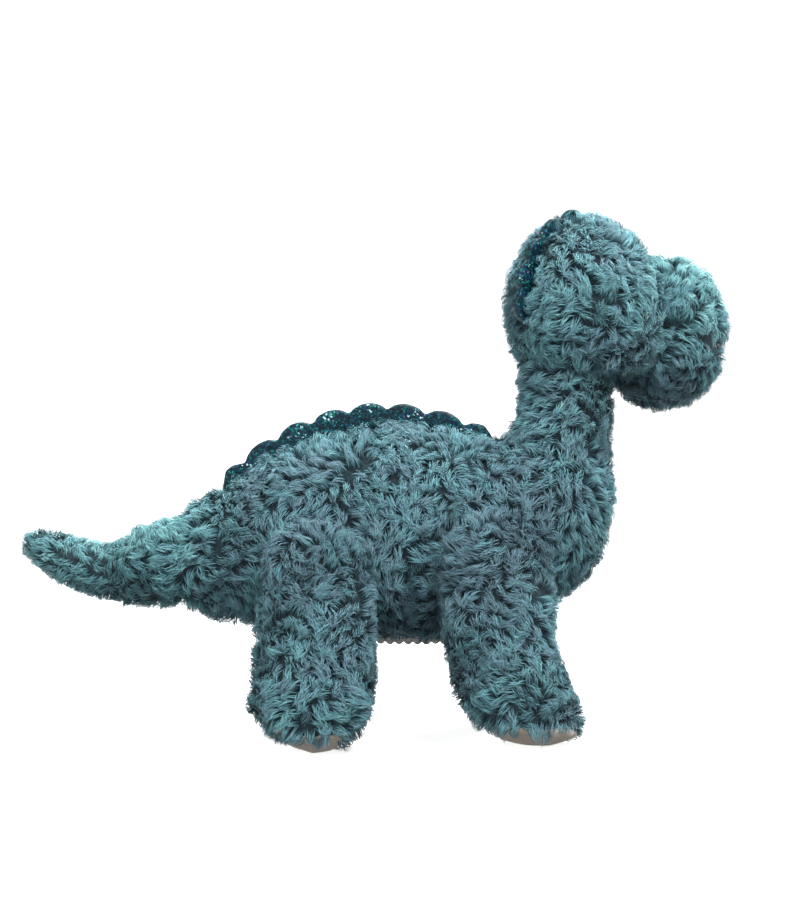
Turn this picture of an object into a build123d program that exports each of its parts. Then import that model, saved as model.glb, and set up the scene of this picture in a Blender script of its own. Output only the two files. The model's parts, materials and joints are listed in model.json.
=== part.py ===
"""Stuffed long-necked dinosaur, sewn from long-pile fabric over polyester stuffing.

Millimetres, +X from tail to nose, +Y to the toy's left, +Z up.  The origin is on the floor under the
middle of the toy.  Each sewn limb is a body of its own: the joints stand for the flexing of the
stuffed fabric at the neck, the tail and the four hips.
"""

from build123d import *
from math import atan2, cos, degrees, radians, sin
import os

# ---- cloth -----------------------------------------------------------------------------------
FUR = 8.0              # backing cloth and pile of the long-pile fabric
MINKY = 3.5            # dimpled belly cloth, shorter than the pile beside it
GAP = 0.4              # between two bodies that flex against each other
REACH = 400.0          # longer than the toy, for cutting blocks

# ---- where the limbs flex --------------------------------------------------------------------
NECK_PIVOT = (139.0, 203.0)             # x, z
NECK_ROOT_RADIUS = 38.0
NECK_SWING = 14.0
NECK_LEAN_ROOM = 3.5   # degrees past the swing, since the neck leans forward of its pivot
HEAD_PLANE = 266.0                      # height of the seam between neck and head
HEAD_AXIS_X = 147.0
HEAD_TURN = 36.0                        # the head is sewn looking to the toy's left
TAIL_PIVOT = (-150.0, 137.0)
TAIL_ROOT_RADIUS = 33.0
TAIL_TIP_PIVOT = (-205.0, 132.0)
TAIL_TIP_RADIUS = 22.5
TAIL_SWING = 20.0
HIP_Z = 128.0
HIP_Y = 52.0
LEG_SWING_OUT = 25.0
LEG_SWING_IN = 10.0

# ---- torso: x, middle height, half width, half height ------------------------------------------
TORSO = [(-137.0, 139.0, 34.5, 39.0), (-106.0, 140.5, 42.0, 46.5), (-78.0, 146.5, 52.0, 63.5),
         (-45.0, 149.5, 58.0, 75.5), (-10.0, 151.5, 61.0, 82.5), (30.0, 150.5, 61.0, 84.0),
         (65.0, 148.0, 58.0, 80.0), (95.0, 145.0, 53.0, 69.0), (120.0, 142.0, 45.0, 54.0),
         (140.0, 139.0, 32.0, 37.0), (150.0, 138.0, 19.0, 22.0)]
CHEST_CENTRE = (132.0, 0.0, 180.0)
CHEST_RADIUS = 48.0
CHEST_HALF_HEIGHT = 78.0
CHEST_TOP = 200.0

# ---- neck: height, x of the middle, half length, half width ---------------------------------------
NECK = [(203.0, 139.0, 38.0, 37.0), (216.0, 140.0, 38.0, 37.0), (229.0, 142.5, 36.5, 35.5),
        (242.0, 145.5, 35.0, 34.0), (254.0, 146.5, 34.5, 34.0), (266.0, 147.0, 36.0, 35.5)]

# ---- tail: x, middle height, half width, half height ---------------------------------------------
TAIL_BASE = [(-150.0, 137.0, 33.0, 34.0), (-165.0, 134.0, 30.0, 31.0), (-180.0, 132.0, 26.0, 26.5),
             (-195.5, 131.0, 23.5, 24.0)]
TAIL_TIP = [(-205.0, 132.0, 23.5, 24.0), (-222.0, 138.0, 22.5, 22.5), (-237.0, 144.5, 21.0, 21.0),
            (-247.0, 149.0, 18.0, 18.0), (-255.0, 152.0, 13.5, 13.5), (-260.5, 154.0, 8.0, 8.0),
            (-262.5, 155.0, 3.0, 3.0)]

# ---- head, in its own frame: x forward from the neck's axis ----------------------------------------
CRANIUM_X = 18.5
CRANIUM_Z = 312.0
CRANIUM_RADIUS = 58.5
CRANIUM_HALF_HEIGHT = 72.0
MUZZLE_X = 92.0
MUZZLE_Z = 293.0
MUZZLE_RADIUS = 48.0
MUZZLE_HALF_HEIGHT = 57.0
MUZZLE_SEAM_X = 58.0
MOUTH_DROP = 11.5                       # degrees that the mouth slopes down towards the nose
EYE_SIDE = 71.0                         # degrees round from straight ahead
EYE_Z = 309.0
EYE_RADIUS = 6.0
SHANK_RADIUS = 2.0
SHANK_LENGTH = 14.0
WASHER_RADIUS = 7.0
WASHER_THICKNESS = 2.0

# ---- legs: distance down the leg, half length, half width --------------------------------------------
LEG = [(0.0, 41.0, 28.5), (28.0, 42.5, 30.0), (56.0, 43.5, 32.0), (90.0, 46.0, 36.0),
       (106.0, 45.5, 36.0), (117.0, 42.0, 33.0), (122.0, 38.0, 30.0)]
THIGH_RADIUS = 42.0
THIGH_HALF_WIDTH = 29.0
SOLE_BULGE = 7.0
SOLE_CLOTH = 2.5
SOLE_X = {"hind": -48.0, "front": 104.0}
HIP_X = {"hind": -40.0, "front": 86.0}
SOLE_Y = 78.0
SOLE_Z = 7.0
LEG_INNER_SLOPE = 0.13                  # how fast the leg's inner side leaves the belly

# ---- ridges of padded shiny cloth ---------------------------------------------------------------------
RIDGE_THICKNESS = 7.0
RIDGE_HEIGHT = 11.0
RIDGE_DIP = 5.0                         # depth of the dips between two scallops
BACK_RIDGE = (-109.0, 93.0)             # x of its two ends
BACK_SCALLOPS = 8
BACK_LINE = [(-109.0, 184.0), (-78.0, 209.5), (-45.0, 225.0), (-10.0, 234.0), (30.0, 234.5),
             (65.0, 228.0), (93.0, 215.5)]
HEAD_RIDGE = (84.0, 186.0)              # degrees round the cranium from its nose side
HEAD_SCALLOPS = 5
HEAD_RIDGE_HEIGHT = 9.0
RIDGE_ROOT = 12.0                       # how deep the ridge's flange starts below the pile

# ---- belly panel: half width 24 mm at its widest, pointed at both ends --------------------------------
BELLY_ENDS = (-118.0, 138.0)
BELLY_HALF_WIDTH = 24.0
BELLY_TOP = 140.0

# ---- sewn-in blank label ------------------------------------------------------------------------------
LABEL = (18.0, 28.0, 1.2)               # along the seam, out of the seam, both folds together
LABEL_PLACE = (-163.0, 40.0, 128.0)
LABEL_DROOP = 30.0


def spheroid(centre, radius, half_axis, along=(0, 0, 1)):
    """A sphere drawn out or flattened along one axis."""
    return Plane(origin=centre, z_dir=along) * scale(Sphere(1.0), by=(radius, radius, half_axis))


def ball(pivot, radius):
    """A sphere about a pivot in the mid-plane, its poles to the toy's sides, clear of the cuts."""
    return Pos(pivot[0], 0, pivot[1]) * Rot(90, 0, 0) * Sphere(radius)


def tube_along_x(stations, skin=0.0):
    """A loft through upright ovals, each one set in by the skin's thickness."""
    ovals = [Plane(origin=(x, 0, z), x_dir=(0, 1, 0), z_dir=(1, 0, 0)) * Ellipse(ry - skin, rz - skin)
             for x, z, ry, rz in stations if min(ry, rz) > skin + 1.0]
    return loft(ovals)


def tube_along_z(stations, skin=0.0):
    """A loft through level ovals, each one set in by the skin's thickness."""
    return loft([Plane(origin=(x, 0, z)) * Ellipse(rx - skin, ry - skin) for z, x, rx, ry in stations])


def block(low, high):
    """A box from its lowest corner to its highest corner."""
    size = [b - a for a, b in zip(low, high)]
    return Pos(*[(a + b) / 2 for a, b in zip(low, high)]) * Box(*size)


LEFT = block((-REACH, 0, -REACH), (REACH, REACH, REACH))
RIGHT = block((-REACH, -REACH, -REACH), (REACH, 0, REACH))


def swing_wedge(pivot, heading, low, high, root, end, length):
    """The space that a limb sweeps, in the upright plane: heading and swings in degrees from +X to +Z."""
    def corner(turn, side, along):
        a = radians(heading + turn)
        return (pivot[0] + along * cos(a) - side * sin(a), pivot[1] + along * sin(a) + side * cos(a))
    outline = [corner(low, -root, 0), corner(low, -end, length), corner(high, end, length),
               corner(high, root, 0)]
    face = make_face(Polyline(*outline, close=True))
    return extrude(Plane.XZ * face, amount=REACH / 2, both=True)


def scallops(line, count, height):
    """Points of a scalloped crest: rounded bumps that stand along a line, lower at both ends."""
    points = []
    per_bump = 6
    for i in range(count * per_bump + 1):
        t = i / (count * per_bump)
        bump = abs(sin(radians(180.0 * count * t))) ** 0.8
        ends = min(1.0, 0.35 + 4.0 * count * min(t, 1.0 - t) / 3.0)
        here, normal = line @ t, (line % t).rotate(Axis.Z, 90)
        points.append(here + normal * (height - RIDGE_DIP * (1.0 - bump)) * ends)
    return points


def crest(line, count, height):
    """A padded ridge on the mid-plane: its scalloped edge above the line, its flange below it."""
    top = scallops(line, count, height)
    if (line % 0.5).rotate(Axis.Z, 90).Y < 0:
        raise ValueError("the line must run so that its left side is outside")
    root = [line @ t + (line % t).rotate(Axis.Z, -90) * RIDGE_ROOT for t in (1.0, 0.75, 0.5, 0.25, 0.0)]
    edges = [Polyline(*top), Polyline(top[-1], *root, top[0])]
    return extrude(Plane.XZ * make_face(edges), amount=RIDGE_THICKNESS / 2, both=True)


# ---- torso --------------------------------------------------------------------------------------------
def torso_form(skin):
    """The torso and chest, set in by the skin's thickness, with room left for neck, tail and legs."""
    cap = block((0, -REACH, 0), (REACH, REACH, CHEST_TOP))
    chest = spheroid(CHEST_CENTRE, CHEST_RADIUS - skin, CHEST_HALF_HEIGHT - skin) & cap
    return tube_along_x(TORSO, skin) + chest


def leg_room(kind, side):
    """The space one leg needs in the torso over its whole swing: the thigh's, then the shin's."""
    dx = SOLE_X[kind] - HIP_X[kind]
    heading = degrees(atan2(SOLE_Z - HIP_Z, dx))
    outward = LEG_SWING_OUT if kind == "front" else LEG_SWING_IN
    inward = LEG_SWING_IN if kind == "front" else LEG_SWING_OUT
    hip = (HIP_X[kind], side * HIP_Y, HIP_Z)
    thigh = spheroid(hip, THIGH_RADIUS + GAP, THIGH_HALF_WIDTH + GAP, (0, 1, 0))
    root, end = THIGH_RADIUS + GAP, LEG[3][1] + GAP
    wedge = swing_wedge((HIP_X[kind], HIP_Z), heading, -inward, outward, root, end, LEG[3][0])
    inner = Plane(origin=(0, side * (HIP_Y - THIGH_HALF_WIDTH - GAP), HIP_Z),
                  x_dir=(1, 0, 0), z_dir=(0, side, LEG_INNER_SLOPE))
    return [thigh, split(wedge, bisect_by=inner, keep=Keep.TOP)]


def neck_and_tail_room():
    """The space cut out of the torso for the roots of the neck and the tail."""
    neck = ball(NECK_PIVOT, NECK_ROOT_RADIUS + GAP)
    neck_room = NECK_SWING + NECK_LEAN_ROOM
    neck_wedge = swing_wedge(NECK_PIVOT, 90.0, -neck_room, neck_room, NECK_ROOT_RADIUS + GAP,
                             NECK_ROOT_RADIUS + GAP, 80.0)
    tail = ball(TAIL_PIVOT, TAIL_ROOT_RADIUS + GAP)
    return [neck, neck_wedge, tail]


def carve(shape, tools):
    """Cut each tool from a shape in turn."""
    for tool in tools:
        shape = shape - tool
    return shape


def shell(outer, inner, half, tools=()):
    """One side's fur panel: the half between two forms, less what passes through it."""
    return carve((outer & half) - inner, tools)


def make_torso():
    ends = neck_and_tail_room()
    legs = {side: leg_room("hind", side) + leg_room("front", side) for side in (1, -1)}
    outer, inner = torso_form(0.0), torso_form(FUR)
    middle = (BELLY_ENDS[0] + BELLY_ENDS[1]) / 2
    sides = [ThreePointArc((BELLY_ENDS[0], 0), (middle, s * BELLY_HALF_WIDTH), (BELLY_ENDS[1], 0))
             for s in (1, -1)]
    zone = extrude(make_face(sides), amount=BELLY_TOP)
    ridge = crest(Spline(*BACK_LINE), BACK_SCALLOPS, RIDGE_HEIGHT) - inner
    belly = (torso_form(FUR - MINKY) & zone) - inner
    return {
        "torso_fur_left": shell(outer, inner, LEFT, [zone, ridge] + ends + legs[1]),
        "torso_fur_right": shell(outer, inner, RIGHT, [zone, ridge] + ends + legs[-1]),
        "belly_panel": carve(belly, ends + legs[1] + legs[-1]),
        "torso_stuffing": carve(inner, ends + legs[1] + legs[-1]),
        "back_ridge": carve(ridge, ends[:2]),
    }


# ---- neck and tail --------------------------------------------------------------------------------------
def make_neck():
    outer, inner = tube_along_z(NECK), tube_along_z(NECK, FUR)
    root = ball(NECK_PIVOT, NECK_ROOT_RADIUS)
    root &= block((0, -REACH, 0), (REACH, REACH, NECK_PIVOT[1]))
    top = block((0, -REACH, 0), (REACH, REACH, HEAD_PLANE - GAP))
    return {
        "neck_fur_left": shell(outer & top, inner, LEFT),
        "neck_fur_right": shell(outer & top, inner, RIGHT),
        "neck_stuffing": (inner & top) + root,
    }


def make_tail():
    base_outer, base_inner = tube_along_x(TAIL_BASE), tube_along_x(TAIL_BASE, FUR)
    root = ball(TAIL_PIVOT, TAIL_ROOT_RADIUS)
    root &= block((TAIL_PIVOT[0], -REACH, 0), (0, REACH, REACH))
    tip_room = ball(TAIL_TIP_PIVOT, TAIL_TIP_RADIUS + GAP)
    label = Pos(*LABEL_PLACE) * Rot(-LABEL_DROOP, 0, 0) * Box(LABEL[0], LABEL[1], LABEL[2])
    label -= base_inner
    tip_outer, tip_inner = tube_along_x(TAIL_TIP), tube_along_x(TAIL_TIP[:-1], FUR)
    tip_root = ball(TAIL_TIP_PIVOT, TAIL_TIP_RADIUS)
    tip_root &= block((TAIL_TIP_PIVOT[0], -REACH, 0), (0, REACH, REACH))
    return {
        "tail_base_fur_left": shell(base_outer, base_inner, LEFT, [tip_room, label]),
        "tail_base_fur_right": shell(base_outer, base_inner, RIGHT, [tip_room]),
        "tail_base_stuffing": (base_inner + root) - tip_room,
        "care_label": label,
        "tail_tip_fur_left": shell(tip_outer, tip_inner, LEFT),
        "tail_tip_fur_right": shell(tip_outer, tip_inner, RIGHT),
        "tail_tip_stuffing": tip_inner + tip_root,
    }


# ---- head --------------------------------------------------------------------------------------------------
def make_eye(side):
    """A black safety eye on its shank, and the washer that holds it inside the cloth."""
    a = radians(side * EYE_SIDE)
    out = Vector(cos(a), sin(a), 0)
    centre = Vector(CRANIUM_X, 0, EYE_Z) + out * (CRANIUM_RADIUS - EYE_RADIUS - 0.5)
    face = Plane(origin=centre, z_dir=out)
    shank = face * Pos(0, 0, -SHANK_LENGTH / 2) * Cylinder(SHANK_RADIUS, SHANK_LENGTH)
    eye = face * Sphere(EYE_RADIUS) + shank
    depth = FUR - EYE_RADIUS - 0.5 + WASHER_THICKNESS / 2
    ring = Cylinder(WASHER_RADIUS, WASHER_THICKNESS) - Cylinder(SHANK_RADIUS, 2 * WASHER_THICKNESS)
    return eye, face * Pos(0, 0, -EYE_RADIUS - depth) * ring


def make_head():
    above = block((-REACH, -REACH, HEAD_PLANE), (REACH, REACH, REACH))
    behind = block((-REACH, -REACH, 0), (MUZZLE_SEAM_X, REACH, REACH))
    ahead = block((MUZZLE_SEAM_X, -REACH, 0), (REACH, REACH, REACH))

    def cranium(skin):
        form = spheroid((CRANIUM_X, 0, CRANIUM_Z), CRANIUM_RADIUS - skin, CRANIUM_HALF_HEIGHT - skin)
        return form & above & behind

    def muzzle(skin):
        form = spheroid((MUZZLE_X, 0, MUZZLE_Z), MUZZLE_RADIUS - skin, MUZZLE_HALF_HEIGHT - skin)
        return form & ahead

    line = EllipticalCenterArc((CRANIUM_X, CRANIUM_Z), CRANIUM_RADIUS, CRANIUM_HALF_HEIGHT,
                               start_angle=HEAD_RIDGE[0], arc_size=HEAD_RIDGE[1] - HEAD_RIDGE[0])
    arc_points = [line @ (i / 8) for i in range(8, -1, -1)]
    stuffing = cranium(FUR) + muzzle(FUR)
    ridge = crest(Spline(*arc_points), HEAD_SCALLOPS, HEAD_RIDGE_HEIGHT) - stuffing
    eyes = {side: make_eye(side) for side in (1, -1)}
    hardware = [piece for pair in eyes.values() for piece in pair]
    muzzle_fur = muzzle(0.0) - stuffing
    mouth = Plane(origin=(MUZZLE_X, 0, MUZZLE_Z - 2.0),
                  z_dir=(sin(radians(MOUTH_DROP)), 0, cos(radians(MOUTH_DROP))))
    pieces = {
        "head_fur_left": shell(cranium(0.0), stuffing, LEFT, [ridge] + hardware),
        "head_fur_right": shell(cranium(0.0), stuffing, RIGHT, [ridge] + hardware),
        "muzzle_fur_upper": split(muzzle_fur, bisect_by=mouth, keep=Keep.TOP),
        "muzzle_fur_lower": split(muzzle_fur, bisect_by=mouth, keep=Keep.BOTTOM),
        "head_stuffing": carve(stuffing, hardware),
        "head_ridge": ridge,
        "eye_left": eyes[1][0],
        "eye_right": eyes[-1][0],
        "eye_washer_left": eyes[1][1],
        "eye_washer_right": eyes[-1][1],
    }
    place = Pos(HEAD_AXIS_X, 0, 0) * Rot(0, 0, HEAD_TURN)
    return {name: place * piece for name, piece in pieces.items()}


# ---- legs ----------------------------------------------------------------------------------------------------
def make_leg(kind, side):
    """One leg: a closed furry form, its stuffing, and a smooth crowned sole, flat where it stands."""
    hip = Vector(HIP_X[kind], side * HIP_Y, HIP_Z)
    down = (Vector(SOLE_X[kind], side * SOLE_Y, SOLE_Z) - hip).normalized()
    floor = block((-REACH, -REACH, 0), (REACH, REACH, REACH))

    def across(distance):
        return Plane(origin=hip + down * distance, x_dir=(1, 0, -down.X / down.Z), z_dir=down)

    def form(skin):
        sections = [across(t) * Ellipse(rx - skin, ry - skin) for t, rx, ry in LEG]
        thigh = spheroid(tuple(hip), THIGH_RADIUS - skin, THIGH_HALF_WIDTH - skin, (0, 1, 0))
        return loft(sections) + thigh

    length, rx, ry = LEG[-1]

    def dome(set_in):
        crown = across(length - set_in) * scale(Sphere(1.0), by=(rx - 3.0, ry - 3.0, SOLE_BULGE))
        beyond = across(length - SOLE_CLOTH) * Pos(0, 0, REACH / 4) * Box(REACH, REACH, REACH / 2)
        return crown & beyond

    rim = across(length - SOLE_CLOTH) * extrude(Ellipse(rx - 3.0, ry - 3.0), amount=SOLE_CLOTH)
    sole = (rim + dome(0.0)) & floor
    outer, inner = form(0.0), form(FUR)
    name = f"{kind}_leg_{'left' if side > 0 else 'right'}"
    return {
        f"{name}_fur": ((outer - inner) - sole) & floor,
        f"{name}_stuffing": inner - sole,
        f"{name}_sole": sole,
    }


pieces = {**make_torso(), **make_neck(), **make_tail(), **make_head()}
for kind in ("hind", "front"):
    for side in (1, -1):
        pieces.update(make_leg(kind, side))

middle = Compound(children=[solid for piece in pieces.values() for solid in piece.solids()])
middle = middle.bounding_box().center()
to_origin = Pos(-middle.X, -middle.Y, 0)
print(f"the sizes above are moved by {-middle.X:.3f}, {-middle.Y:.3f} to centre the toy")

os.makedirs("parts", exist_ok=True)
for name, piece in pieces.items():
    solids = [to_origin * solid for solid in piece.solids()]
    export_step(solids[0] if len(solids) == 1 else Compound(children=solids), f"parts/{name}.step")
    volume = sum(solid.volume for solid in solids) / 1000
    print(f"{name:24s} {len(solids)} solid(s) {volume:8.1f} cm3")
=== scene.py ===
import json
import math

import bmesh
import bpy
import numpy as np
from mathutils import Matrix, Vector
from mathutils.bvhtree import BVHTree


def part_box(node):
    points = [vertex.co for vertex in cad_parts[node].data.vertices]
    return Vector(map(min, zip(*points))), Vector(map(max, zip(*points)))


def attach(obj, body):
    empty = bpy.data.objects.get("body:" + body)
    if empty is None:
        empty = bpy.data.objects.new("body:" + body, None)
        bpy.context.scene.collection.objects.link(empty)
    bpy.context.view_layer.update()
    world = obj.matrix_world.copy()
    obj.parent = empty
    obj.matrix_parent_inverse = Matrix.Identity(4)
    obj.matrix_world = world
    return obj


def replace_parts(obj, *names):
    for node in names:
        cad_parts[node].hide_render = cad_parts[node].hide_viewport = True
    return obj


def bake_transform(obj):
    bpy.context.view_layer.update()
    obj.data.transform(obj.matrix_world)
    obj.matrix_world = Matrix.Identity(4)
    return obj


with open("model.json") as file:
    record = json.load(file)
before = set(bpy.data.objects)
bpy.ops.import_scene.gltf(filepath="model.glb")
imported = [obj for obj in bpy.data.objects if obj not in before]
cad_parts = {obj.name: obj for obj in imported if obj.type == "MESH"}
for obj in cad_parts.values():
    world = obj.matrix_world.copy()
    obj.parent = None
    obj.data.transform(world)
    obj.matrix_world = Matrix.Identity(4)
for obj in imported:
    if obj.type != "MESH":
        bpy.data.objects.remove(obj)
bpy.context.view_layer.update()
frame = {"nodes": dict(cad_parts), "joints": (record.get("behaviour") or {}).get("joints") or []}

NODES = frame["nodes"]
JOINTS = {j["name"]: j for j in frame["joints"]}
MM = 0.001
SEED = 1107

# ---------------------------------------------------------------- sizes, in millimetres
SKIN_INSET = 5.0        # the backing cloth lies this far under the tips of the pile
LOCK_SPACING = 4.7      # least distance between two locks of pile
LOCK_RADIUS = 4.5       # spread of one lock's roots
FIBRES_PER_LOCK = 30
FIBRE_LENGTH = 12.0
TIP_FIBRE_LENGTH = 8.0
FIBRE_WIDTH = (0.52, 0.50, 0.38)   # at the root, one third and two thirds up
DOT_PITCH = 7.8         # raised dots of the belly cloth
DOT_RADIUS, DOT_HEIGHT = 3.1, 2.2
SKIN_PITCH, HEAD_PITCH = 3.5, 3.0  # remeshing of the body's and the head's skins
RIDGE_SINK, RIDGE_SINK_AT_TOP = 1.2, 3.8
LABEL_HALF = 0.028      # metres from the label's seam to its fold

# where the furry cover is split, and the stretch over which each joint bends it
TAIL_CUT_1, TAIL_CUT_2 = -0.130, -0.186
NECK_PIVOT = np.array((0.1355, 0.0, 0.203))
NECK_AXIS = np.array((0.5, 0.0, 0.866))


# ---------------------------------------------------------------- mesh helpers
def arrays(me):
    """Vertices, and triangles as vertex numbers."""
    me.calc_loop_triangles()
    v = np.empty(len(me.vertices) * 3)
    me.vertices.foreach_get("co", v)
    t = np.empty(len(me.loop_triangles) * 3, int)
    me.loop_triangles.foreach_get("vertices", t)
    return v.reshape(-1, 3), t.reshape(-1, 3)


def normals(me):
    n = np.empty(len(me.vertices) * 3)
    me.vertices.foreach_get("normal", n)
    return n.reshape(-1, 3)


def put(me, v):
    me.vertices.foreach_set("co", np.ascontiguousarray(v, float).ravel())
    me.update()


def linked(name, me):
    ob = bpy.data.objects.new(name, me)
    bpy.context.scene.collection.objects.link(ob)
    return ob


def tree(me):
    v, t = arrays(me)
    return BVHTree.FromPolygons([tuple(p) for p in v], [tuple(f) for f in t])


def remeshed(name, meshes, voxel):
    """One closed outer surface round the given meshes, as a new mesh of even quads."""
    bm = bmesh.new()
    for me in meshes:
        bm.from_mesh(me)
    bmesh.ops.remove_doubles(bm, verts=bm.verts, dist=1e-5)
    raw = bpy.data.meshes.new(name)
    bm.to_mesh(raw)
    bm.free()
    ob = linked(name + "_raw", raw)
    mod = ob.modifiers.new("even", "REMESH")
    mod.mode, mod.voxel_size, mod.use_smooth_shade = "VOXEL", voxel * MM, True
    dg = bpy.context.evaluated_depsgraph_get()
    me = bpy.data.meshes.new_from_object(ob.evaluated_get(dg))
    bpy.data.objects.remove(ob)
    bm = bmesh.new()
    bm.from_mesh(me)
    bm.verts.ensure_lookup_table()
    seen, groups = set(), []
    for start in bm.verts:
        if start.index in seen:
            continue
        todo, group = [start], []
        seen.add(start.index)
        while todo:
            v = todo.pop()
            group.append(v)
            for e in v.link_edges:
                w = e.other_vert(v)
                if w.index not in seen:
                    seen.add(w.index)
                    todo.append(w)
        groups.append(group)
    groups.sort(key=len)
    bmesh.ops.delete(bm, geom=[v for g in groups[:-1] for v in g], context="VERTS")
    bm.to_mesh(me)
    bm.free()
    me.materials.clear()
    return me


def relaxed(me, rounds, share=0.5):
    """Evens the mesh out by moving each vertex towards its neighbours' middle."""
    v, _ = arrays(me)
    e = np.empty(len(me.edges) * 2, int)
    me.edges.foreach_get("vertices", e)
    a, b = e.reshape(-1, 2).T
    count = np.maximum(np.bincount(np.r_[a, b], minlength=len(v)), 1)[:, None]
    for _ in range(rounds):
        total = [np.bincount(np.r_[a, b], np.r_[v[b, k], v[a, k]], len(v)) for k in range(3)]
        middle = np.stack(total, 1) / count
        v = v + (middle - v) * share
    put(me, v)
    return me


def distance(bvh, points):
    """Distance to a surface, negative inside it."""
    out = np.empty(len(points))
    for i, p in enumerate(points):
        co, n, _, d = bvh.find_nearest(Vector(p))
        out[i] = math.copysign(d, (Vector(p) - co).dot(n))
    return out


def away(bvh, points):
    """Unit vectors from the nearest point of a surface's solid."""
    out = np.empty((len(points), 3))
    for i, p in enumerate(points):
        out[i] = Vector(p) - bvh.find_nearest(Vector(p))[0]
    return out / np.maximum(np.linalg.norm(out, axis=1), 1e-9)[:, None]


def inset(me, depth):
    put(me, arrays(me)[0] - normals(me) * depth[:, None])
    return me


def hull(name, meshes):
    bm = bmesh.new()
    for me in meshes:
        bm.from_mesh(me)
    out = bmesh.ops.convex_hull(bm, input=bm.verts, use_existing_faces=False)
    loose = {g for g in out["geom_interior"] + out["geom_unused"] if isinstance(g, bmesh.types.BMVert)}
    bmesh.ops.delete(bm, geom=list(loose), context="VERTS")
    faces = [g for g in out["geom"] if isinstance(g, bmesh.types.BMFace)]
    keep = set(faces)
    bmesh.ops.delete(bm, geom=[f for f in bm.faces if f not in keep], context="FACES_ONLY")
    me = bpy.data.meshes.new(name)
    bm.to_mesh(me)
    bm.free()
    return me


def between(name, source, low, high):
    """The part of a closed mesh between two planes across X, with its cut ends closed."""
    bm = bmesh.new()
    bm.from_mesh(source)
    for x, side in ((low, -1), (high, 1)):
        if x is None:
            continue
        geom = bm.verts[:] + bm.edges[:] + bm.faces[:]
        cut = bmesh.ops.bisect_plane(bm, geom=geom, dist=1e-6, plane_co=(x, 0, 0),
                                     plane_no=(side, 0, 0), clear_outer=True)
        edges = [g for g in cut["geom_cut"] if isinstance(g, bmesh.types.BMEdge)]
        bmesh.ops.holes_fill(bm, edges=edges, sides=0)
    bmesh.ops.recalc_face_normals(bm, faces=bm.faces)
    me = bpy.data.meshes.new(name)
    bm.to_mesh(me)
    bm.free()
    me.polygons.foreach_set("use_smooth", [True] * len(me.polygons))
    return me


# ---------------------------------------------------------------- materials
def material(name, base=(0.8, 0.8, 0.8), rough=0.6, **plain):
    m = bpy.data.materials.new(name)
    m.use_nodes = True
    p = m.node_tree.nodes["Principled BSDF"]
    p.inputs["Base Color"].default_value = (*base, 1)
    p.inputs["Roughness"].default_value = rough
    for key, value in plain.items():
        p.inputs[key.replace("_", " ")].default_value = value
    return m, m.node_tree, p


def node(tree_, kind, **values):
    n = tree_.nodes.new("ShaderNode" + kind)
    for key, value in values.items():
        if key in n.inputs:
            n.inputs[key].default_value = value
        else:
            setattr(n, key, value)
    return n


def ramp(tree_, stops, interpolation="LINEAR"):
    n = tree_.nodes.new("ShaderNodeValToRGB")
    n.color_ramp.interpolation = interpolation
    while len(n.color_ramp.elements) < len(stops):
        n.color_ramp.elements.new(1.0)
    for e, (at, colour) in zip(n.color_ramp.elements, stops):
        e.position = at
        e.color = (*colour, 1)
    return n


def srgb(r, g, b):
    """Linear colour of an 8-bit screen colour."""
    return tuple((c / 255 / 12.92) if c <= 10 else ((c / 255 + 0.055) / 1.055) ** 2.4 for c in (r, g, b))


# A fibre's colour depends only on its tone, across, and on the height along it, up; the height darkens each fibre
# towards its root, as painted shade deep in the pile.
# All fibres share that map, so it is laid out once, under the name that a colour bake looks for.
PILE_MAP = "OFBake"


def pile_material():
    m, nt, p = material("pile", rough=0.62, Specular_IOR_Level=0.25, Sheen_Weight=0.25, Sheen_Roughness=0.45,
                        Sheen_Tint=(0.62, 0.85, 0.88, 1))
    uv = node(nt, "UVMap", uv_map=PILE_MAP)
    split = node(nt, "SeparateXYZ")
    tone = ramp(nt, [(0.0, srgb(66, 94, 108)), (0.38, srgb(112, 146, 160)), (0.55, srgb(104, 158, 168)),
                     (0.8, srgb(138, 200, 204)), (1.0, srgb(184, 230, 230))])
    # Painted shade: this height ramp darkens each fibre's colour towards its root, deep in the pile.
    depth = ramp(nt, [(0.0, (0.05, 0.08, 0.10)), (0.3, (0.26, 0.31, 0.34)),
                      (0.62, (0.85, 0.86, 0.86)), (1.0, (1.05, 1.05, 1.05))])
    mix = node(nt, "Mix", data_type="RGBA", blend_type="MULTIPLY")
    mix.inputs["Factor"].default_value = 1.0
    nt.links.new(uv.outputs["UV"], split.inputs[0])
    nt.links.new(split.outputs["X"], tone.inputs[0])
    nt.links.new(split.outputs["Y"], depth.inputs[0])
    nt.links.new(tone.outputs[0], mix.inputs[6])
    nt.links.new(depth.outputs[0], mix.inputs[7])
    nt.links.new(mix.outputs[2], p.inputs["Base Color"])
    return m


def noisy(name, colours, scale, rough, bump=0.15, bump_scale=900.0, weave=False, **plain):
    """A cloth whose colour drifts between a few shades, with a fine grain or weave in its surface."""
    m, nt, p = material(name, rough=rough, **plain)
    co = node(nt, "TexCoord")
    drift = node(nt, "TexNoise", Scale=scale, Detail=4.0)
    shade = ramp(nt, [(0.3 + 0.4 * i / (len(colours) - 1), c) for i, c in enumerate(colours)])
    nt.links.new(co.outputs["Object"], drift.inputs["Vector"])
    nt.links.new(drift.outputs[0], shade.inputs[0])
    nt.links.new(shade.outputs[0], p.inputs["Base Color"])
    if weave:
        grain = node(nt, "TexWave", Scale=bump_scale, Distortion=1.5)
    else:
        grain = node(nt, "TexNoise", Scale=bump_scale, Detail=3.0)
    nt.links.new(co.outputs["Object"], grain.inputs["Vector"])
    lift = node(nt, "Bump", Strength=bump, Distance=0.0006)
    nt.links.new(grain.outputs[1 if weave else 0], lift.inputs["Height"])
    nt.links.new(lift.outputs[0], p.inputs["Normal"])
    return m


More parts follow.
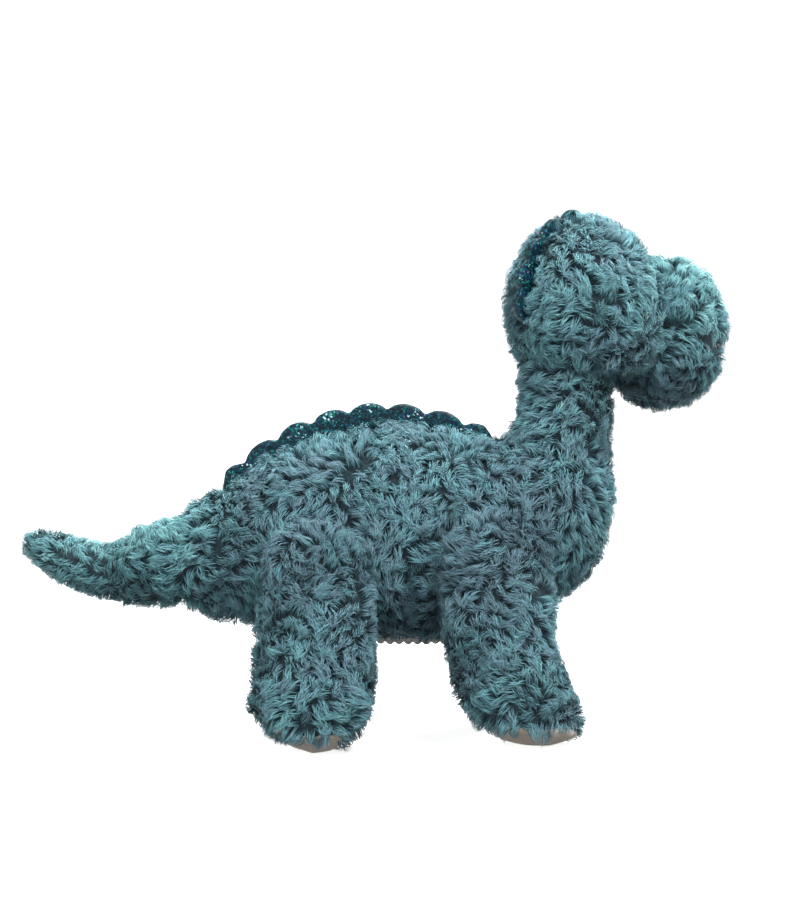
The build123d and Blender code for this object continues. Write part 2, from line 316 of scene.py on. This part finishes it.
def hologram():
    """Dark teal cloth printed with small foil dots; the dots' bright cyan, green, blue, violet and near-white flashes
    are painted glints of reflected light.
    """
    m, nt, p = material("foil_cloth", rough=0.5, Metallic=0.1, Specular_IOR_Level=0.18)
    co = node(nt, "TexCoord")
    cells = node(nt, "TexVoronoi", Scale=820.0, Randomness=0.9)
    wide = node(nt, "TexNoise", Scale=60.0, Detail=2.0)
    split = node(nt, "SeparateXYZ")
    add = node(nt, "Math", operation="MULTIPLY_ADD")
    add.inputs[1].default_value = 0.9
    low = node(nt, "Math", operation="MULTIPLY_ADD")
    low.inputs[1].default_value, low.inputs[2].default_value = 0.5, -0.17
    # The upper stops of this ramp are painted glints: the foil dots' flashes of reflected light.
    teal = ramp(nt, [(0.0, srgb(2, 20, 30)), (0.35, srgb(4, 34, 48)),
                     (0.62, srgb(6, 52, 66)), (0.78, srgb(10, 80, 84)),
                     (0.88, srgb(20, 116, 102)), (0.92, srgb(16, 56, 100)), (0.955, srgb(50, 146, 140)),
                     (0.98, srgb(84, 74, 130)), (0.996, srgb(180, 214, 214))], "CONSTANT")
    nt.links.new(co.outputs["Object"], cells.inputs["Vector"])
    nt.links.new(co.outputs["Object"], wide.inputs["Vector"])
    nt.links.new(cells.outputs["Color"], split.inputs[0])
    nt.links.new(wide.outputs[0], low.inputs[0])
    nt.links.new(split.outputs["X"], add.inputs[0])
    nt.links.new(low.outputs[0], add.inputs[2])
    nt.links.new(add.outputs[0], teal.inputs[0])
    nt.links.new(teal.outputs[0], p.inputs["Base Color"])
    lift = node(nt, "Bump", Strength=0.5, Distance=0.0004)
    nt.links.new(cells.outputs["Distance"], lift.inputs["Height"])
    nt.links.new(lift.outputs[0], p.inputs["Normal"])
    return m


PILE = pile_material()
# The backing cloth is real, but its near-black colour is painted shade in the gaps between the locks.
BACKING = noisy("pile_backing", [srgb(14, 32, 40), srgb(26, 50, 58)], 90.0, 0.9)
FOIL = hologram()
MINKY = noisy("dimpled_cloth", [srgb(214, 212, 204), srgb(232, 230, 222)], 60.0, 0.85, 0.5, 2600.0,
              Sheen_Weight=0.5)
SOLE = noisy("sole_cloth", [srgb(222, 208, 192), srgb(238, 224, 208)], 70.0, 0.8, 0.4, 1500.0,
             weave=True, Sheen_Weight=0.25)
SATIN = noisy("label_satin_cloth", [srgb(236, 236, 232), srgb(246, 246, 244)], 40.0, 0.38, 0.3, 2400.0,
              weave=True)
EYE = noisy("eye_gloss", [srgb(8, 8, 9), srgb(16, 15, 15)], 200.0, 0.08, 0.02, 400.0,
            Coat_Weight=0.6, Coat_Roughness=0.04)
WASHER = noisy("washer_grain", [srgb(216, 214, 208), srgb(230, 228, 224)], 150.0, 0.5)

# ---------------------------------------------------------------- the stuffed forms under the pile
LEGS = [f"{end}_leg_{side}" for end in ("hind", "front") for side in ("left", "right")]


def cad(*names):
    return [NODES[n].data for n in names]


belly_tree = tree(NODES["belly_panel"].data)
ridge_trees = [tree(NODES[n].data) for n in ("back_ridge", "head_ridge")]

torso_hull = hull("torso_hull", cad("torso_fur_left", "torso_fur_right", "belly_panel"))
neck_top = bpy.data.meshes.new("neck_top")
nv = np.concatenate([arrays(m)[0] for m in cad("neck_fur_left", "neck_fur_right")])
nv = nv[nv[:, 2] > nv[:, 2].max() - 12 * MM]
neck_top.from_pydata([tuple(p) for p in np.concatenate([nv, nv + (0, 0, 16 * MM)])], [], [])
NECK_AND_TAIL = cad("neck_fur_left", "neck_fur_right", "neck_stuffing",
                    "tail_base_fur_left", "tail_base_fur_right", "tail_base_stuffing",
                    "tail_tip_fur_left", "tail_tip_fur_right", "tail_tip_stuffing")
body = remeshed("body_form", [torso_hull, hull("neck_root", [neck_top]), *NECK_AND_TAIL], SKIN_PITCH)
relaxed(body, 8)
near = np.abs(distance(belly_tree, arrays(body)[0]))
inset(body, MM * (1.6 + (SKIN_INSET - 1.6) * np.clip(near / MM / 11, 0, 1)))
relaxed(body, 2)

HEAD_PARTS = ("head_fur_left", "head_fur_right", "muzzle_fur_upper", "muzzle_fur_lower", "head_stuffing")
head = remeshed("head_form", cad(*HEAD_PARTS), HEAD_PITCH)
relaxed(head, 3)
hv = arrays(head)[0]
snout = np.clip((hv[:, 0] - 0.195) / 0.045, 0, 1)
snout = snout * snout * (3 - 2 * snout)
high = np.clip((hv[:, 2] - 0.262) / 0.05, 0, 1)
put(head, hv + np.stack([snout * (3.5 + 1.5 * high), 2 * snout, 3 * snout * high], 1) * MM)
upper, lower = (tree(NODES[n].data) for n in ("muzzle_fur_upper", "muzzle_fur_lower"))
hv = arrays(head)[0]
du, dl = np.abs(distance(upper, hv)), np.abs(distance(lower, hv))
cranium = [tree(NODES[n].data) for n in ("head_fur_left", "head_fur_right")]
dc = np.minimum(*[np.abs(distance(t, hv)) for t in cranium])
mouth = np.exp(-(((du - dl) / MM) / 3.0) ** 2) * (np.minimum(du, dl) < dc - 2 * MM)
inset(head, MM * (SKIN_INSET + 3.5 * mouth))
relaxed(head, 1)

# How far the outline of a leg is drawn in or out along X, in millimetres, at each height: rear, then front.
LEG_Z = (0, 5, 12, 33, 55, 78, 105)
LEG_SHIFT = {"hind": ((9, 6, 4, -3, -1, 0, 0), (-9, -7, -4, -2, 0, 0, 0)),
             "front": ((10, 7, 5, 2, 0, 0, 0), (-3, 2, 5, -1, -8, -8, 0))}
# How far a foot's underside is raised, from its rear edge to its front edge.
FOOT_LIFT = {"hind": (10, 3, 0, 1.5, 7), "front": (12, 5, 0, -5, -6)}


def shaped(v, leg):
    """The points of a leg with its outline drawn to shape, and its foot rounded in across too."""
    lo, hi = (np.array(c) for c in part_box(leg + "_sole"))
    mid, half = (lo + hi) / 2, (hi - lo) / 2
    side = np.clip((v[:, 0] - mid[0]) / half[0], -1, 1)
    end = leg.split("_")[0]
    rear, fore = (np.interp(v[:, 2], np.array(LEG_Z) * MM, np.array(s_) * MM) for s_ in LEG_SHIFT[end])
    out = v.copy()
    out[:, 0] += np.where(side < 0, -side * rear, side * fore)
    raised = np.interp(side, (-1, -0.5, 0, 0.5, 1), FOOT_LIFT[end]) * MM
    out[:, 2] = np.maximum(v[:, 2] + raised * np.clip((40 * MM - v[:, 2]) / (25 * MM), 0, 1), 0)
    rounding = np.interp(v[:, 2], (0, 6 * MM, 14 * MM), (6 * MM, 3 * MM, 0))
    out[:, 1] -= np.clip((v[:, 1] - mid[1]) / half[1], -1, 1) * rounding
    return out


leg_forms, sole_trees, sole_forms = {}, {}, {}
for leg in LEGS:
    sole = relaxed(remeshed(leg + "_sole_cloth", cad(leg + "_sole"), 1.6), 6)
    put(sole, shaped(arrays(sole)[0], leg))
    sole_forms[leg], sole_trees[leg] = sole, tree(sole)
    form = remeshed(leg + "_form", cad(leg + "_fur", leg + "_stuffing", leg + "_sole"), 3.5)
    relaxed(form, 4)
    put(form, shaped(arrays(form)[0], leg))
    near = np.abs(distance(sole_trees[leg], arrays(form)[0]))
    inset(form, MM * (2.0 + (SKIN_INSET - 2.0) * np.clip(near / MM / 10, 0, 1)))
    leg_forms[leg] = relaxed(form, 1)

body_tree, head_tree = tree(body), tree(head)

skins = {
    "body_cover": between("body_cover", body, TAIL_CUT_1, None),
    "tail_base_cover": between("tail_base_cover", body, TAIL_CUT_2, TAIL_CUT_1),
    "tail_tip_cover": between("tail_tip_cover", body, None, TAIL_CUT_2),
    "head_cover": head,
    **{leg + "_cover": leg_forms[leg] for leg in LEGS},
}
pieces = {}
for name, me in skins.items():
    me.materials.append(BACKING)
    pieces[name] = linked(name, me)

# ---------------------------------------------------------------- pile
waves_rng = np.random.default_rng(SEED)
WAVE_K = waves_rng.normal(size=(18, 3))
WAVE_LENGTH = np.r_[waves_rng.uniform(0.045, 0.08, 12), waves_rng.uniform(0.02, 0.03, 6)]
WAVE_K *= (2 * math.pi / WAVE_LENGTH / np.linalg.norm(WAVE_K, axis=1))[:, None]
WAVE_D = waves_rng.normal(size=(18, 3)) * np.r_[np.ones(12), np.full(6, 0.55)][:, None]
WAVE_P = waves_rng.uniform(0, 2 * math.pi, 18)


def flow(p):
    """A direction that swirls slowly from place to place."""
    return np.sin(p @ WAVE_K.T + WAVE_P) @ WAVE_D / 3.0


def drift(p, scale, seed):
    """A smooth value from about -1 to 1."""
    rng = np.random.default_rng(seed)
    k = rng.normal(size=(8, 3))
    k *= (2 * math.pi / scale / np.linalg.norm(k, axis=1))[:, None]
    return np.sin(p @ k.T + rng.uniform(0, 6.28, 8)).sum(1) / 3.2


def tone_at(p, base):
    """The shade of the pile, which drifts slowly over the whole toy."""
    return base + 0.06 * drift(p, 0.16, 5) + 0.045 * drift(p, 0.05, 6)


def unit(v):
    return v / np.maximum(np.linalg.norm(v, axis=-1, keepdims=True), 1e-12)


def turned(v, axis, angle):
    """v turned about a unit axis square to it."""
    return v * np.cos(angle)[:, None] + np.cross(axis, v) * np.sin(angle)[:, None]


def scattered(me, spacing, rng):
    """Points spread evenly over a mesh, no two nearer than spacing, with their normals."""
    v, t = arrays(me)
    vn = normals(me)
    a, b, c = (v[t[:, k]] for k in range(3))
    area = np.linalg.norm(np.cross(b - a, c - a), axis=1) / 2
    count = int(5.0 * area.sum() / spacing ** 2)
    pick = rng.choice(len(t), count, p=area / area.sum())
    r1, r2 = np.sqrt(rng.random(count)), rng.random(count)
    w = np.stack([1 - r1, r1 * (1 - r2), r1 * r2], 1)[:, :, None]
    pts = (v[t[pick]] * w).sum(1)
    nrm = unit((vn[t[pick]] * w).sum(1))
    cells, kept = {}, []
    keys = np.floor(pts / spacing).astype(int)
    near = [(i, j, k) for i in (-1, 0, 1) for j in (-1, 0, 1) for k in (-1, 0, 1)]
    s2 = spacing * spacing
    listed = pts.tolist()
    for n, (i, j, k) in enumerate(keys.tolist()):
        x, y, z = listed[n]
        for di, dj, dk in near:
            for q in cells.get((i + di, j + dj, k + dk), ()):
                X, Y, Z = listed[q]
                if (x - X) ** 2 + (y - Y) ** 2 + (z - Z) ** 2 < s2:
                    break
            else:
                continue
            break
        else:
            cells.setdefault((i, j, k), []).append(n)
            kept.append(n)
    return pts[kept], nrm[kept]


def pile(name, at, nrm, rng, tone, length=FIBRE_LENGTH, comb=(-0.15, 0, -0.55), shy=()):
    """A mesh of curved tapering fibres, in locks that share a lean and a curl and close towards their tips.
    shy lists surfaces that the locks near them lean away from, or lean along a given direction."""
    k, m = len(at), FIBRES_PER_LOCK
    lean = unit(flow(at) + np.array(comb) * 0.6)
    for bvh, reach, way in shy:
        d = np.abs(distance(bvh, at))
        push = np.clip(1 - d / (reach * MM), 0, 1)
        lean = lean + (away(bvh, at) if way is None else np.array(way)) * (2.2 * push)[:, None]
    lean = unit(lean - nrm * (lean * nrm).sum(1, keepdims=True))
    lean = turned(lean, nrm, rng.normal(0, 0.38, k))
    side = np.cross(nrm, lean)
    size = np.clip(rng.normal(1.0, 0.14, k), 0.7, 1.35) * length * MM
    curl = rng.normal(0, 0.55, k)
    rise = np.clip(rng.normal(1.0, 0.15, k), 0.65, 1.35)

    def each(x):
        return np.repeat(x, m, axis=0)

    f = k * m
    disc = np.sqrt(rng.random(f)) * LOCK_RADIUS * MM
    turn = rng.uniform(0, 2 * math.pi, f)
    off = each(lean) * (disc * np.cos(turn))[:, None] + each(side) * (disc * np.sin(turn))[:, None]
    n, d0 = each(nrm), each(lean)
    behind = -disc * np.cos(turn) / (LOCK_RADIUS * MM)
    beside = disc * np.sin(turn) / (LOCK_RADIUS * MM)
    step = each(size) * rng.uniform(0.82, 1.08, f) * (1 + 0.10 * behind) / 3
    bend = each(curl) - 0.35 * beside + rng.normal(0, 0.14, f)
    lift = each(rise) * (1 + 0.30 * behind) * rng.uniform(0.92, 1.08, f)
    base = each(at) + off - n * 0.8 * MM
    stations = [base]
    here = base
    for i, (angle, close) in enumerate(((1.02, 0.04), (0.72, 0.11), (0.06, 0.15))):
        way = turned(d0, n, bend * (i + 0.3) / 2)
        up = np.clip(angle * lift, 0, 1.4)
        here = here + way * (step * np.cos(up))[:, None] + n * (step * np.sin(up))[:, None] - off * close
        here = here + rng.normal(0, 0.14 * MM * (i + 1), (f, 3))
        stations.append(here)
    flat = unit(n + rng.normal(0, 0.45, (f, 3)))
    verts = np.empty((f, 7, 3))
    for i in range(3):
        across = unit(np.cross(stations[i + 1] - stations[i], flat)) * (FIBRE_WIDTH[i] * MM / 2)
        verts[:, 2 * i], verts[:, 2 * i + 1] = stations[i] - across, stations[i] + across
    verts[:, 6] = stations[3]
    verts = verts.reshape(-1, 3)
    verts[:, 2] = np.maximum(verts[:, 2], 0.3 * MM)
    shape = np.array([0, 1, 3, 2, 2, 3, 5, 4, 4, 5, 6])
    loops = (np.arange(f)[:, None] * 7 + shape).ravel()
    me = bpy.data.meshes.new(name)
    me.vertices.add(f * 7)
    me.vertices.foreach_set("co", verts.ravel())
    me.loops.add(f * 11)
    me.loops.foreach_set("vertex_index", loops)
    me.polygons.add(f * 3)
    me.polygons.foreach_set("loop_start", (np.arange(f)[:, None] * 11 + np.array([0, 4, 8])).ravel())
    me.polygons.foreach_set("use_smooth", np.ones(f * 3, bool))
    me.update(calc_edges=True)
    me.validate()
    # Fibres rooted at the back of a lock, which stand highest, get a slightly lighter tone: painted light on the top
    # of each lock.
    shade = np.clip(each(tone + rng.normal(0, 0.06, k)) + 0.05 * behind + rng.normal(0, 0.055, f), 0.02, 0.98)
    height = np.array([0, 0, 1 / 3, 1 / 3, 2 / 3, 2 / 3, 1])
    edge = np.array([-1, 1, -1, 1, -1, 1, 0]) * 0.003
    uv = np.stack([shade[:, None] + edge, np.broadcast_to(height * 0.98 + 0.01, (f, 7))], -1).reshape(-1, 2)[loops]
    layer = me.uv_layers.new(name=PILE_MAP)
    layer.data.foreach_set("uv", uv.ravel())
    me.materials.append(PILE)
    ob = linked(name, me)
    return ob


def bare(at, bvh, reach):
    return np.abs(distance(bvh, at)) < reach * MM


def hidden(at, bvh, depth):
    """True for points deeper than this inside a closed surface."""
    deep = distance(bvh, at) < -depth * MM
    for i in np.flatnonzero(deep):
        here, crossings = Vector(at[i]), 0
        while True:
            hit = bvh.ray_cast(here, Vector((0, 0, 1)))[0]
            if hit is None:
                break
            crossings += 1
            here = hit + Vector((0, 0, 1e-5))
        deep[i] = crossings % 2 == 1
    return deep


rng = np.random.default_rng(SEED + 1)
at, nrm = scattered(body, LOCK_SPACING * MM, rng)
keep = ~(bare(at, belly_tree, 2.6) | bare(at, ridge_trees[0], 1.6) | hidden(at, head_tree, 7))
for leg in LEGS:
    j = JOINTS[leg + "_swing"]
    hx, hz = (-0.0435, 0.128) if leg.startswith("hind") else (0.0825, 0.128)
    on_side = (at[:, 1] > 0.02) if leg.endswith("left") else (at[:, 1] < -0.02)
    keep &= ~(on_side & (np.hypot(at[:, 0] - hx, at[:, 2] - hz) < 0.034))
at, nrm = at[keep], nrm[keep]
reach = (at - NECK_PIVOT) @ NECK_AXIS
body_shy = [(belly_tree, 8, None), (ridge_trees[0], 8, None)]
# Pile that faces upwards gets a lighter tone: painted light from above, added to the pile's own slow drift of tone.
body_tone = tone_at(at, 0.46 + 0.05 * np.clip(nrm[:, 2], 0, 1))
zone = {
    "tail_tip_pile": at[:, 0] < TAIL_CUT_2,
    "tail_base_pile": (at[:, 0] >= TAIL_CUT_2) & (at[:, 0] < TAIL_CUT_1),
}
rest = at[:, 0] >= TAIL_CUT_1
zone["neck_pile"] = rest & (reach > -0.010)
rest &= reach <= -0.010
for side, s in (("left", at[:, 1] >= 0), ("right", at[:, 1] < 0)):
    for end, e in (("rear", at[:, 0] < 0.02), ("fore", at[:, 0] >= 0.02)):
        zone[f"torso_pile_{side}_{end}"] = rest & s & e
for name, where in zone.items():
    lift = np.clip((-0.10 - at[where, 0]) / 0.06, 0, 1) * 0.18
    near_ridge = [] if name.startswith("tail") else body_shy
    pieces[name] = pile(name, at[where], nrm[where], rng, body_tone[where] + lift, shy=near_ridge,
                        length=TIP_FIBRE_LENGTH if name == "tail_tip_pile" else FIBRE_LENGTH,
                        comb=(-0.15, 0, -0.35) if name.startswith("tail") else (-0.15, 0, -0.55))

at, nrm = scattered(head, LOCK_SPACING * MM, rng)
du, dl = np.abs(distance(upper, at)), np.abs(distance(lower, at))
dc = np.minimum(*[np.abs(distance(t, at)) for t in cranium])
on_muzzle = np.minimum(du, dl) < dc - 1.5 * MM
in_mouth = on_muzzle & (np.abs(du - dl) < 1.6 * MM)
eyes = [tree(NODES[n].data) for n in ("eye_left", "eye_right")]
keep = ~(in_mouth | hidden(at, body_tree, 7) | bare(at, ridge_trees[1], 1.6)
         | bare(at, eyes[0], 0.3) | bare(at, eyes[1], 0.3))
at, nrm, on_muzzle, du, dl = at[keep], nrm[keep], on_muzzle[keep], du[keep], dl[keep]
head_tone = tone_at(at, 0.47)
# The muzzle's pile is lighter than the head's as its own colour; beyond that, its tone rises towards its top and
# falls below, as painted light from above and painted shade underneath.
top = np.clip((at[:, 2] - 0.285) / 0.05, -1, 1)
head_tone = head_tone + np.clip((at[:, 0] - 0.180) / 0.045, 0, 1) * (0.12 + 0.20 * top)
for name, where in (("muzzle_pile", on_muzzle), ("head_pile", ~on_muzzle)):
    pieces[name] = pile(name, at[where], nrm[where], rng, head_tone[where], shy=[(ridge_trees[1], 8, None)])

for leg in LEGS:
    at, nrm = scattered(leg_forms[leg], LOCK_SPACING * MM, rng)
    hem = np.interp(at[:, 0] - np.mean([c[0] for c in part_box(leg + "_sole")]), (-0.03, 0.0, 0.015, 0.035),
                    (0.016, 0.015, 0.014, 0.015) if leg.startswith("front") else (0.016, 0.012, 0.007, 0.006))
    keep = ~((bare(at, sole_trees[leg], 2.5) & (at[:, 2] < hem)) | hidden(at, body_tree, 7)
             | ((nrm[:, 2] < -0.75) & (at[:, 2] < 0.02)))
    at, nrm = at[keep], nrm[keep]
    tone = tone_at(at, 0.40 + 0.06 * np.clip((0.13 - at[:, 2]) / 0.08, 0, 1))
    pieces[leg + "_pile"] = pile(leg + "_pile", at, nrm, rng, tone, comb=(0.0, 0, -0.7),
                                 shy=[(sole_trees[leg], 9, (0, 0, -1))])

# ---------------------------------------------------------------- ridges, belly, soles, label


def ridge(name, node_name, along, height, set_in):
    """A stuffed foil-cloth strip: its lobes are puffed, and pinched at the stitches between them."""
    me = relaxed(remeshed(name, cad(node_name), 1.0), 8)
    put(me, set_in(arrays(me)[0]))
    v = arrays(me)[0]
    u, h = along(v), height(v)
    bins = np.linspace(u.min(), u.max(), 90)
    slot_ = np.clip(np.digitize(u, bins) - 1, 0, 88)
    crest = np.array([h[slot_ == b].max() if (slot_ == b).any() else np.nan for b in range(89)])
    ok = ~np.isnan(crest)
    mids = (bins[:-1] + bins[1:]) / 2
    crest = np.interp(mids, mids[ok], crest[ok])
    wide = np.convolve(np.pad(crest, 7, mode="edge"), np.ones(15) / 15, "valid")
    low = np.interp(u, mids, np.clip((wide - crest) / (2.0 * MM), -1, 1))
    n = normals(me)
    puff = 0.6 * MM - 1.1 * MM * np.clip(low, 0, 1) + 0.22 * MM * drift(v, 0.006, 11)
    put(me, v + n * puff[:, None] * np.array((0.6, 1.0, 0.6)))
    me.materials.append(FOIL)
    me.polygons.foreach_set("use_smooth", [True] * len(me.polygons))
    ob = linked(name, me)
    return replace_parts(ob, node_name)


def back_set(v):
    """The strip stands a little higher over the hips and lower at the shoulders."""
    v[:, 2] += np.interp(v[:, 0], (-0.115, -0.06, 0.01, 0.07, 0.09), (0.5, 3.0, 3.0, -2.0, -3.0)) * MM
    return v


def head_set(v):
    """The strip sits down into the pile of the head, deepest at its top end."""
    top_end = np.clip((v[:, 2] - hc[2] - 0.030) / 0.035, 0, 1)[:, None]
    return v - unit(v - hc) * (RIDGE_SINK + RIDGE_SINK_AT_TOP * top_end) * MM


def round_head(v):
    """The angle about the head's middle, seen from the side."""
    return np.arctan2(v[:, 2] - hc[2], np.hypot(v[:, 0] - hc[0], v[:, 1]) * np.sign(v[:, 0] - hc[0]))


hc = np.array((0.1435, 0.0, 0.312))
pieces["back_frill"] = ridge("back_frill", "back_ridge", lambda v: v[:, 0], lambda v: v[:, 2], back_set)
pieces["head_frill"] = ridge("head_frill", "head_ridge", round_head,
                             lambda v: np.linalg.norm(v - hc, axis=1), head_set)

me = relaxed(remeshed("belly_cloth", cad("belly_panel"), 1.25), 3)
v, n = arrays(me)[0], normals(me)
row = np.round(v[:, 0] / (DOT_PITCH * MM * 0.866))
px = row * DOT_PITCH * MM * 0.866
shift = (row % 2) * DOT_PITCH * MM / 2
py = np.round((v[:, 1] - shift) / (DOT_PITCH * MM)) * DOT_PITCH * MM + shift
bump = np.clip(1 - (np.hypot(v[:, 0] - px, v[:, 1] - py) / (DOT_RADIUS * MM)) ** 2, 0, 1) ** 0.7
put(me, v + n * (DOT_HEIGHT * MM * bump * (n[:, 2] < -0.2) - 0.3 * MM)[:, None])
me.materials.append(MINKY)
belly = linked("belly_cloth", me)
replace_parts(belly, "belly_panel")
pieces["belly_cloth"] = belly

for leg in LEGS:
    me = sole_forms[leg]
    v, n = arrays(me)[0], normals(me)
    wrinkle = 0.35 * MM * drift(v, 0.014, 12) * np.clip((v[:, 2] - 2 * MM) / (4 * MM), 0, 1)
    v = v + n * (0.4 * MM + wrinkle)[:, None]
    v[:, 2] = np.maximum(v[:, 2], 0.0)
    put(me, v)
    me.materials.append(SOLE)
    ob = linked(leg + "_sole_cloth", me)
    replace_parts(ob, leg + "_sole")
    pieces[leg + "_sole_cloth"] = ob


def label():
    """A blank woven label, folded once, whose two ends are sewn into the tail's far side."""
    lo, hi = (np.array(c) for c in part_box("care_label"))
    width, half = hi[0] - lo[0], LABEL_HALF
    out = unit(np.array((0.0, math.cos(math.radians(30)), -math.sin(math.radians(30)))))
    up = np.array((0.0, -out[2], out[1]))
    root = np.array((lo[0], lo[1], hi[2] - 0.0006))
    steps, across = 40, 10
    gap = 0.0007
    verts = []
    for i in range(steps + 1):
        s = i / steps * 2
        go = s if s <= 1 else 2 - s
        layer = (1 if s <= 1 else -1) * gap * min(1, (1 - go) * 12) ** 0.5
        wave = 0.0012 * math.sin(go * 2.6)
        for j in range(across + 1):
            w = j / across
            p = root + out * (go * (half - 0.001)) + up * (layer + wave + 0.0005 * math.sin(w * 3.1) * go)
            verts.append((p[0] + w * width, p[1], p[2]))
    row_ = across + 1
    faces = [(i * row_ + j, i * row_ + j + 1, (i + 1) * row_ + j + 1, (i + 1) * row_ + j)
             for i in range(steps) for j in range(across)]
    me = bpy.data.meshes.new("care_label_loop")
    me.from_pydata(verts, [], faces)
    me.materials.append(SATIN)
    me.polygons.foreach_set("use_smooth", [True] * len(me.polygons))
    ob = linked("care_label_loop", me)
    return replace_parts(ob, "care_label")


pieces["care_label_loop"] = label()

# ---------------------------------------------------------------- what each piece stands for, and what it rides on
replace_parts(pieces["body_cover"], "torso_fur_left", "torso_fur_right", "torso_stuffing",
            "neck_fur_left", "neck_fur_right", "neck_stuffing")
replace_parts(pieces["tail_base_cover"], "tail_base_fur_left", "tail_base_fur_right", "tail_base_stuffing")
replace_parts(pieces["tail_tip_cover"], "tail_tip_fur_left", "tail_tip_fur_right", "tail_tip_stuffing")
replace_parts(pieces["head_cover"], "head_fur_left", "head_fur_right", "muzzle_fur_upper",
            "muzzle_fur_lower", "head_stuffing")
for leg in LEGS:
    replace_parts(pieces[leg + "_cover"], leg + "_fur", leg + "_stuffing")

for name in ("body_cover", "neck_pile"):
    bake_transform(pieces[name])
for name in ("tail_base_cover", "tail_base_pile"):
    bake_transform(pieces[name])
for name in ("tail_tip_cover", "tail_tip_pile"):
    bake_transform(pieces[name])
for name in ("head_cover", "head_pile", "muzzle_pile", "head_frill"):
    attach(pieces[name], "head")
for name in ("back_frill", "belly_cloth", *[n for n in pieces if n.startswith("torso_pile")]):
    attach(pieces[name], "torso")
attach(pieces["care_label_loop"], "tail_base")
for leg in LEGS:
    for part in ("_cover", "_pile", "_sole_cloth"):
        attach(pieces[leg + part], leg)

for side in ("left", "right"):
    for n, m in ((f"eye_{side}", EYE), (f"eye_washer_{side}", WASHER)):
        for s in NODES[n].material_slots:
            s.material = m

# ---------------------------------------------------------------- floor, light and camera
def backdrop():
    """A pale round floor that curves up into a wall far out on every side.
    It takes the toy's shadow, and sends no light back up."""
    m = material("backdrop", base=(0.93, 0.93, 0.93), rough=0.9,
                 Emission_Color=(1, 1, 1, 1), Emission_Strength=0.8)[0]
    prof = [(0.35, 0.0), (1.2, 0.0), (5.5, 0.0)]
    prof += [(5.5 + 1.5 * math.sin(a), 1.5 - 1.5 * math.cos(a)) for a in np.linspace(0.1, math.pi / 2, 12)]
    prof.append((7.0, 6.0))
    turns = 72
    step = 2 * math.pi / turns
    verts = [(0, 0, 0)] + [(r * math.cos(step * k), r * math.sin(step * k), z) for r, z in prof for k in range(turns)]
    faces = [(0, 1 + k, 1 + (k + 1) % turns) for k in range(turns)]
    for i in range(len(prof) - 1):
        a, b = 1 + i * turns, 1 + (i + 1) * turns
        faces += [(a + k, b + k, b + (k + 1) % turns, a + (k + 1) % turns) for k in range(turns)]
    me = bpy.data.meshes.new("backdrop")
    me.from_pydata(verts, [], faces)
    me.materials.append(m)
    me.polygons.foreach_set("use_smooth", [True] * len(me.polygons))
    ob = linked("backdrop", me)
    ob.visible_diffuse = False


def lamp(name, at_, aim, size, power, colour=(1, 1, 1)):
    data = bpy.data.lights.new(name, "AREA")
    data.shape, data.size, data.energy, data.color = "DISK", size, power, colour
    ob = linked(name, data)
    ob.location = at_
    ob.rotation_euler = (Vector(aim) - Vector(at_)).to_track_quat("-Z", "Y").to_euler()


backdrop()
lamp("key", (0.9, -1.3, 2.4), (0, 0, 0.15), 0.9, 112.0)
lamp("fill", (-1.9, -1.6, 1.2), (0, 0, 0.15), 1.4, 20.0)
lamp("back", (0.9, 0.9, 2.2), (0, 0, 0.2), 1.0, 90.0)
world = bpy.data.worlds.new("studio")
world.use_nodes = True
sky = world.node_tree
sky_dir, sky_z = node(sky, "TexCoord"), node(sky, "SeparateXYZ")
sky_up = ramp(sky, [(0.3, (0.27, 0.27, 0.27)), (0.65, (0.7, 0.7, 0.7)), (1.0, (1, 1, 1))])
half = node(sky, "Math", operation="MULTIPLY_ADD")
half.inputs[1].default_value, half.inputs[2].default_value = 0.5, 0.5
sky.links.new(sky_dir.outputs["Generated"], sky_z.inputs[0])
sky.links.new(sky_z.outputs["Z"], half.inputs[0])
sky.links.new(half.outputs[0], sky_up.inputs[0])
sky.links.new(sky_up.outputs[0], sky.nodes["Background"].inputs[0])
sky.nodes["Background"].inputs[1].default_value = 0.6
scene = bpy.context.scene
scene.world = world
scene.view_settings.view_transform = "Standard"
scene.view_settings.look = "None"

AIM = Vector((0.0190, 0.0, 0.2138))
CAMERA_AT = Vector((0.0190, -2.2, 0.2714))
ROLL = math.radians(1.95)
cam_data = bpy.data.cameras.new("camera")
cam_data.sensor_width, cam_data.sensor_fit = 36.0, "HORIZONTAL"
cam_data.lens = 133.8
cam = linked("camera", cam_data)
back = (CAMERA_AT - AIM).normalized()
right0 = Vector((0, 0, 1)).cross(back).normalized()
up0 = back.cross(right0)
right = right0 * math.cos(ROLL) - up0 * math.sin(ROLL)
up = up0 * math.cos(ROLL) + right0 * math.sin(ROLL)
cam.matrix_world = Matrix.Translation(CAMERA_AT) @ Matrix((right, up, back)).transposed().to_4x4()
scene.camera = cam
